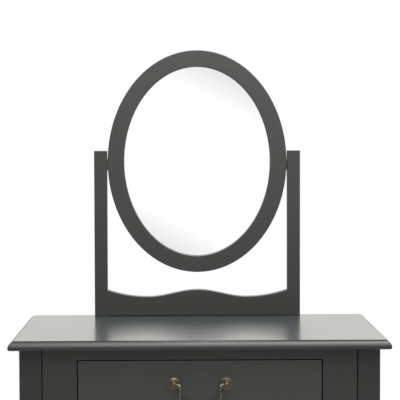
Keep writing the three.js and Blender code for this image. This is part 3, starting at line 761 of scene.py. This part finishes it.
def frame_section():
    """The frame as (growth, y) points: three eased edges, then rebates for the backing and the glass."""
    front, back, edge = MIRROR_LOW.y, MIRROR_HIGH.y, RIM_EDGE
    backing_seat = low("mirror_backing").y - REBATE["gap"]
    glass_seat = GLASS_FRONT - REBATE["gap"]
    return [
        *((edge - a, front + edge - b) for a, b in arc(0, 0, edge, edge, 0, 90, steps=5)),
        *((RIM - edge + a, front + edge - b) for a, b in arc(0, 0, edge, edge, 90, 0, steps=5)),
        *((RIM - edge + a, back - edge + b) for a, b in arc(0, 0, edge, edge, 0, 90, steps=5)),
        (REBATE["backing"], back),
        (REBATE["backing"], backing_seat),
        (REBATE["glass"], backing_seat),
        (REBATE["glass"], glass_seat),
        (0.0, glass_seat),
    ]


def plate_pockets():
    """The two slots in the frame's edge that the pivot plates are let into."""
    built = bmesh.new()
    radius, rise = POCKET["radius"], POCKET["rise"]
    for name, side in SIDES.items():
        middle = middle_of(f"pivot_plate_{name}")
        upper = arc(middle.y, middle.z + rise, radius, radius, 0, 180, steps=16)
        lower = arc(middle.y, middle.z - rise, radius, radius, 180, 360, steps=16)
        ends = (side * (MIRROR_HIGH.x - POCKET["depth"]), side * (MIRROR_HIGH.x + POCKET["past"]))
        slab(built, [upper + lower], "x", *sorted(ends))
    return built


def cut(obj, cutter, sharp):
    """Takes a solid out of a piece's own mesh."""
    mesh = bpy.data.meshes.new("cutter")
    bmesh.ops.recalc_face_normals(cutter, faces=cutter.faces)
    cutter.to_mesh(mesh)
    cutter.free()
    tool = add_object("cutter", mesh)
    bare = add_object("bare", obj.data)
    remove = bare.modifiers.new("cut", "BOOLEAN")
    remove.operation = "DIFFERENCE"
    remove.solver = "EXACT"
    remove.object = tool
    view = bpy.context.evaluated_depsgraph_get()
    made = bpy.data.meshes.new_from_object(bare.evaluated_get(view))
    made.set_sharp_from_angle(angle=math.radians(sharp))
    obj.data = made
    bpy.data.objects.remove(bare)
    bpy.data.objects.remove(tool)


def mirror_frame():
    """The oval frame: a flat face with eased edges, rebated behind for the glass and the backing."""
    built = bmesh.new()
    node = "mirror_frame"
    loft(built, oval_rings(frame_section()), around=True)
    # the frame takes a lighter copy of the paint, painted light
    rim = piece(f"{node}_oval", built, "mirror", FRAME_LIT_PAINT, "grey_paint", [node], sharp=FRAME_SHARP)
    cut(rim, plate_pockets(), FRAME_SHARP)


def mirror_glass():
    """The oval glass, with a small chamfer round both faces."""
    built = bmesh.new()
    node = "mirror_glass"
    grow, edge = GLASS["grow"], GLASS["edge"]
    section = [
        (grow - edge, GLASS_FRONT),
        (grow, GLASS_FRONT + edge),
        (grow, GLASS_BACK - edge),
        (grow - edge, GLASS_BACK),
    ]
    loft(built, oval_rings(section))
    piece(f"{node}_bevelled", built, "mirror", SILVERED, "silvered_glass", [node], sharp=25)


# ---------- handle ----------
# turned outlines in millimetres: (radius, height from the drawer front)
BACKPLATE = [
    (11, 0), (11, 0.5), (10.7, 0.9), (9.9, 1.1), (9.2, 1.3), (8.5, 1.9), (7.7, 2.6),
    (6.9, 2.9), (6.1, 2.6), (5.4, 2.1), (4.7, 2.3), (4.1, 2.7), (3.4, 2.8), (0, 2.8),
]
POST_NECK = [(3.9, 2.2), (3.9, 3.2), (3.3, 3.9), (2.8, 5.2), (2.6, 6.8), (2.8, 8.4), (3.3, 9.4)]
BALL = 4.8 * MM
# half of the bail in millimetres, from its end in the ball to the middle: (x, height from pivot, radius)
BAIL = [
    (44.8, 0, 1.9), (41, 0, 1.9), (38, -0.4, 2.3), (36.2, -1.6, 3.2), (34.8, -3.2, 3.6),
    (34.1, -5.2, 2.9), (33.8, -7.2, 1.9), (33.7, -9.8, 1.75), (34.5, -14, 2.1), (34.9, -18, 2.4),
    (34.4, -22, 2.1), (33, -26, 1.8), (29.5, -32, 1.9), (23, -38, 2.3), (17, -40.6, 2.0),
    (10, -41.9, 2.4), (0, -42.6, 3.0),
]
BAIL_SIDES = 18
OUTWARD = (0, -1, 0)
TURNED_SHARP = 60


def rosette(name):
    """A round backplate with a thin rim, a rounded ring and a raised middle."""
    built = bmesh.new()
    node = f"handle_rosette_{name}"
    middle = middle_of(node)
    outline = [BACKPLATE[0], *spline(BACKPLATE[1:-2], steps=3), *BACKPLATE[-2:]]
    profile = [(0, 0), *((radius * MM, height * MM) for radius, height in outline)]
    lathe(built, profile, placer((middle.x, high(node).y, middle.z), OUTWARD), segments=72)
    piece(f"{node}_turned", built, "drawer", BRASS, "antique_brass", [node], sharp=TURNED_SHARP)


def handle_post(name):
    """A turned neck that carries a ball head."""
    built = bmesh.new()
    node = f"handle_post_{name}"
    plate = f"handle_rosette_{name}"
    middle, foot = middle_of(plate), high(plate).y
    reach = foot - low(node).y - BALL
    neck = [(radius * MM, height * MM) for radius, height in spline(POST_NECK, steps=4)]
    start = math.degrees(math.asin(neck[-1][0] / BALL))
    angles = map(math.radians, spread(start, 180, count=22))
    ball = [(BALL * math.sin(t), reach - BALL * math.cos(t)) for t in angles]
    profile = [(0, neck[0][1]), *neck, *ball[1:-1], (0, reach + BALL)]
    lathe(built, profile, placer((middle.x, foot, middle.z), OUTWARD), segments=40)
    piece(f"{node}_turned", built, "drawer", BRASS, "antique_brass", [node], sharp=TURNED_SHARP)


def handle_bail():
    """The swan-neck bail, its thickness swelling at the knuckles, the bends and the grip."""
    built = bmesh.new()
    plane = middle_of("handle_bail").y
    pivot = middle_of("handle_rosette_left").z
    line = BAIL + [(-x, z, radius) for x, z, radius in reversed(BAIL[:-1])]
    path = spline([(x * MM, z * MM, radius * MM) for x, z, radius in line], steps=5)
    turns = spread(0, 2 * math.pi, BAIL_SIDES)[:-1]
    rings = []
    for i, (x, z, radius) in enumerate(path):
        before, after = path[max(i - 1, 0)], path[min(i + 1, len(path) - 1)]
        way = Vector((after[0] - before[0], 0, after[1] - before[1])).normalized()
        across, back = Vector((way.z, 0, -way.x)), Vector((0, 1, 0))
        centre = Vector((x, plane, pivot + z))
        rings.append([centre + radius * (across * math.cos(t) + back * math.sin(t)) for t in turns])
    loft(built, rings)
    piece("handle_bail_cast", built, "bail", BAIL_BRASS, "antique_brass", ["handle_bail"], sharp=70)


# ---------- screws ----------
# the point's (radius, height from its tip) in shank radii, and the dome's (radius, depth below the crown)
# in shares of the head's radius and of the dome's height
SCREW_POINT = [(0.0, 0.0), (0.5, 1.5), (1.0, 3.2)]
SCREW_DOME = [(1.0, 1.0), (0.93, 0.45), (0.78, 0.12), (0.66, 0.0)]
SCREW_SIDES = 48
# the cross recess in shares of the head's radius; its depth is also held to a share of the head's height
CROSS = {"arm": 0.52, "width": 0.12, "depth": 0.4, "height_share": 0.6, "taper": 0.8}
SCREWS = {
    "backing": {"shank": 1.0 * MM, "head": 1.4 * MM, "dome": 0.9 * MM},
    "post": {"shank": 2.2 * MM, "head": 2.8 * MM, "dome": 0.6 * MM},
    "handle": {"shank": 1.9 * MM, "head": 2.2 * MM, "dome": 1.4 * MM},
    "pivot": {"shank": 1.1 * MM, "head": 1.2 * MM, "dome": 0.8 * MM},
}


def cross_recess(built, rim, place, radius, depth):
    """Fills the crown inside its rim, round a tapering cross."""
    arm, width, taper = radius * CROSS["arm"], radius * CROSS["width"], CROSS["taper"]
    cross = []
    for cosine, sine in ((1, 0), (0, 1), (-1, 0), (0, -1)):
        for a, b in ((arm, 0.0), (arm, width), (width, width), (width, arm)):
            cross.append((a * cosine - b * sine, a * sine + b * cosine))
    upper = [built.verts.new(place(a, b, 0)) for a, b in cross]
    lower = [built.verts.new(place(a * taper, b * taper, -depth)) for a, b in cross]
    cross_steps, rim_steps = len(upper) // 4, len(rim) // 4
    for k in range(4):
        inside = [upper[(cross_steps * k + i) % len(upper)] for i in range(cross_steps + 1)]
        outside = [rim[(rim_steps * k + i) % len(rim)] for i in range(rim_steps + 1)]
        built.faces.new(inside + outside[::-1])
    for i, j in neighbours(len(upper)):
        built.faces.new((upper[i], upper[j], lower[j], lower[i]))
    built.faces.new(lower)


def screw(node, body, direction, finish, slot):
    """A screw with a domed head, a cross recess and a pointed shank, as long as its node's box."""
    built = bmesh.new()
    size = high(node) - low(node)
    way = Vector(direction)
    length = abs(size.dot(way))
    radius = min(abs(value) for value in size if abs(abs(value) - length) > TINY) / 2
    shank, head, dome = SCREWS[node.split("_")[0]].values()
    profile = [(shank * share, shank * rise - length) for share, rise in SCREW_POINT]
    profile += [(shank, -head), (radius, -head)]
    profile += [(radius * share, -dome * fall) for share, fall in SCREW_DOME]
    place = placer(middle_of(node) + way * length / 2, direction)
    rings = lathe(built, profile, place, SCREW_SIDES)
    depth = min(head * CROSS["height_share"], radius * CROSS["depth"])
    cross_recess(built, rings[-1], place, radius, depth)
    piece(f"{node}_cross", built, body, finish, slot, [node], sharp=40)


def all_screws():
    """Every screw in the assembly, each with its head turned the way it is driven."""
    for number in range(1, 7):
        screw(f"backing_screw_{number}", "mirror", (0, 1, 0), STEEL, "zinc_steel")
    for name, side in SIDES.items():
        screw(f"post_screw_{name}", "table", (0, 0, -1), STEEL, "zinc_steel")
        screw(f"handle_screw_{name}", "drawer", (0, 1, 0), STEEL, "zinc_steel")
        for place in ("upper", "lower"):
            screw(f"pivot_screw_{name}_{place}", "mirror", (side, 0, 0), BRASS, "antique_brass")


def build_pieces():
    """Every piece that replaces a CAD node."""
    table_top()
    for name, (side, end) in CORNERS.items():
        leg(name, side, end)
    front_apron()
    mirror_rail()
    for name, side in SIDES.items():
        side_apron(name, side)
        mirror_post(name, side)
    plain_board("back_apron", "table", PAINT["x"], WOOD_ARRIS)
    # the drawer front takes a lighter copy of the paint, painted light
    plain_board("drawer_front", "drawer", FRONT_LIT_PAINT, DRAWER_ARRIS)
    mirror_frame()
    for name in SIDES:
        rosette(name)
        handle_post(name)
    handle_bail()
    all_screws()
    mirror_glass()


# ---------- the CAD nodes that stay ----------
WELD_REACH = 0.01 * MM
FLAT_ENOUGH = 0.5
CAD_SHARP = 30


def dress(node, finish):
    """Gives a CAD node its material."""
    obj = NODES[node]
    obj.data.materials.clear()
    obj.data.materials.append(finish)
    return obj


def dress_eased(node, finish, arris, segments=3):
    """Gives a faceted CAD node its material, and modifiers that weld, clean and round its edges."""
    obj = dress(node, finish)
    weld = obj.modifiers.new("weld", "WELD")
    weld.merge_threshold = WELD_REACH
    clean = obj.modifiers.new("clean", "DECIMATE")
    clean.decimate_type = "DISSOLVE"
    clean.angle_limit = math.radians(FLAT_ENOUGH)
    ease(obj, "ease", arris, segments, CAD_SHARP)
    for polygon in obj.data.polygons:
        polygon.use_smooth = True
    weigh(obj)


def dress_cad_nodes():
    """Finishes the nodes that no piece replaces."""
    for corner in CORNERS:
        dress(f"floor_glide_{corner}", NYLON)
        # the corner blocks in the pine darkened as painted shade
        dress_eased(f"corner_block_{corner}", CARCASS_SHADE_PINE["z"], 0.6 * MM)
        dress(f"leg_bolt_{corner}", STEEL)
    for side in SIDES:
        # the runners and kickers in the pine darkened as painted shade
        dress_eased(f"drawer_runner_{side}", CARCASS_SHADE_PINE["y"], 0.5 * MM)
        dress_eased(f"drawer_kicker_{side}", CARCASS_SHADE_PINE["y"], 0.5 * MM)
        dress_eased(f"drawer_side_{side}", PINE["y"], 0.6 * MM)
        dress(f"pivot_bush_{side}", BRASS)
        dress_eased(f"pivot_plate_{side}", PIVOT_BRASS, 0.2 * MM, segments=2)
    dress_eased("drawer_back", PINE["x"], 0.5 * MM)
    dress("drawer_bottom", PLYWOOD)
    dress("mirror_backing", HARDBOARD)


# ---------- camera ----------
CAMERA_PLACE = (-0.0328, -2.5535, 1.1103)
CAMERA_TURN = {"down": 2.467, "right": 0.803, "roll": -0.153}
SENSOR = 36.0
LENS = 127.4
CLIP = (0.05, 50)


def add_camera():
    """The camera, turned by its three angles in degrees from level and looking straight back."""
    data = bpy.data.cameras.new("camera")
    data.sensor_width = SENSOR
    data.lens = LENS
    data.clip_start, data.clip_end = CLIP
    camera = add_object("camera", data)
    down, right, roll = (math.radians(CAMERA_TURN[key]) for key in ("down", "right", "roll"))
    forward = Vector((math.sin(right) * math.cos(down), math.cos(right) * math.cos(down), -math.sin(down)))
    across = Vector((math.cos(right), -math.sin(right), 0))
    upward = across.cross(forward)
    tilted_across = across * math.cos(roll) + upward * math.sin(roll)
    tilted_up = upward * math.cos(roll) - across * math.sin(roll)
    turn = Matrix((tilted_across, tilted_up, -forward)).transposed()
    camera.matrix_world = Matrix.Translation(CAMERA_PLACE) @ turn.to_4x4()
    bpy.context.scene.camera = camera


# ---------- light ----------
SOFTBOXES = {
    "key": {"place": (0.36, -0.85, 2.15), "target": (0.12, -0.3, 0.9), "size": (2.9, 1.5), "power": 51},
    "strip": {"place": (0.34, -0.45, 2.05), "target": (0.08, 0.1, 1.2), "size": (1.2, 0.3), "power": 15.5},
}


def add_softbox(name, place, target, size, power):
    """A rectangular light that points from its place at a target."""
    data = bpy.data.lights.new(name, "AREA")
    data.shape = "RECTANGLE"
    data.size, data.size_y = size
    data.energy = power
    light = add_object(name, data)
    light.location = place
    light.rotation_euler = (Vector(target) - Vector(place)).to_track_quat("-Z", "Y").to_euler()


# the surroundings by direction; x, y and z are the parts of the unit vector that points that way
BACKDROP = 0.992
BEHIND = {"y": (-0.15, 0.35), "light": (0.25, 1.0)}
LOW_FRONT = {"z": (-0.35, 0.1), "light": (0.4, 1.0)}
SKY = {"z": (0.07, 0.28), "light": (1.0, 1.42)}
CARD = {"lean": 2.0, "middle": -0.021, "edge": (0.10, 0.34), "end": (0.25, 0.6), "y": -0.3}
LEAST_AHEAD = 0.05
WHITE = (1.0, 1.0, 1.0)
WARM = {"y": (0.0, 0.6), "tint": (1.0, 0.98, 0.925)}


def room_light(nodes, y, z):
    """White behind the object and brighter above, dimmer in front and dimmest low in front."""
    behind = nodes.ramp(y, BEHIND["y"], BEHIND["light"], interpolation_type="SMOOTHSTEP")
    rear = nodes.math("GREATER_THAN", y, 0.0)
    dim = nodes.math("MAXIMUM", nodes.ramp(z, LOW_FRONT["z"], LOW_FRONT["light"]), rear)
    above = nodes.ramp(z, SKY["z"], SKY["light"])
    return nodes.math("MULTIPLY", nodes.math("MULTIPLY", behind, dim), above)


def card_light(nodes, x, y, z):
    """A leaning white card in front of the object, with soft edges, for the glass to reflect."""
    ahead = nodes.math("MAXIMUM", nodes.math("MULTIPLY", y, -1.0), LEAST_AHEAD)
    lean = nodes.math("DIVIDE", nodes.math("ADD", x, nodes.math("MULTIPLY", z, CARD["lean"])), ahead)
    off = nodes.math("ABSOLUTE", nodes.math("SUBTRACT", lean, CARD["middle"]))
    wide = nodes.math("ABSOLUTE", nodes.math("DIVIDE", x, ahead))
    edges = nodes.ramp(off, CARD["edge"], (1.0, 0.0))
    ends = nodes.ramp(wide, CARD["end"], (1.0, 0.0))
    in_front = nodes.math("LESS_THAN", y, CARD["y"])
    return nodes.math("MULTIPLY", nodes.math("MULTIPLY", edges, ends), in_front)


def add_world():
    """The light of the room and the card on the object, and a plain backdrop to the eye."""
    world = bpy.data.worlds.new("studio")
    bpy.context.scene.world = world
    world.use_nodes = True
    world.node_tree.nodes.clear()
    nodes = Nodes(world.node_tree)
    way = nodes.add("ShaderNodeTexCoord").outputs["Generated"]
    x, y, z = nodes.add("ShaderNodeSeparateXYZ", {0: way}).outputs
    seen = nodes.math("MAXIMUM", room_light(nodes, y, z), card_light(nodes, x, y, z))
    to_eye = nodes.add("ShaderNodeLightPath").outputs["Is Camera Ray"]
    not_eye = nodes.math("SUBTRACT", 1.0, to_eye)
    lit = nodes.math("MULTIPLY", seen, not_eye)
    strength = nodes.math("ADD", lit, nodes.math("MULTIPLY", to_eye, BACKDROP))
    warm = nodes.math("MULTIPLY", not_eye, nodes.ramp(y, WARM["y"]))
    tint = nodes.mix(warm, WHITE, WARM["tint"])
    shine = nodes.add("ShaderNodeBackground", {"Color": tint, "Strength": strength})
    nodes.add("ShaderNodeOutputWorld", {"Surface": shine.outputs[0]})


# ---------- floor ----------
FLOOR = {"y": -1.3, "fade": (1.8, 4.0), "radius": 4.1, "segments": 96, "roughness": 0.8}
FLOOR_TONES = ((0.54, 0.54, 0.53), (0.57, 0.57, 0.56))


def mottled_floor(nodes):
    mottle = nodes.noise(nodes.stretched(), scale=30, detail=3)
    return {"Base Color": nodes.mix(mottle, *FLOOR_TONES)}


def faded_floor(nodes, surface):
    """The floor's shader, turning clear away from its middle."""
    place = nodes.add("ShaderNodeTexCoord").outputs["Object"]
    distance = nodes.add("ShaderNodeVectorMath", {0: place}, operation="LENGTH").outputs["Value"]
    fade = nodes.ramp(distance, FLOOR["fade"], interpolation_type="SMOOTHSTEP")
    clear = nodes.add("ShaderNodeBsdfTransparent").outputs[0]
    return nodes.add("ShaderNodeMixShader", {0: fade, 1: surface, 2: clear}).outputs[0]


def add_floor():
    """A pale floor that fades out into the white round it."""
    mesh = bpy.data.meshes.new("floor")
    built = bmesh.new()
    bmesh.ops.create_circle(built, cap_ends=True, segments=FLOOR["segments"], radius=FLOOR["radius"])
    built.to_mesh(mesh)
    built.free()
    mesh.materials.append(material("floor", mottled_floor, faded_floor, Roughness=FLOOR["roughness"]))
    floor = add_object("floor", mesh)
    floor.location.y = FLOOR["y"]


build_pieces()
dress_cad_nodes()
add_camera()
add_world()
add_floor()
for name, settings in SOFTBOXES.items():
    add_softbox(name, **settings)
bpy.context.scene.view_settings.view_transform = "Standard"
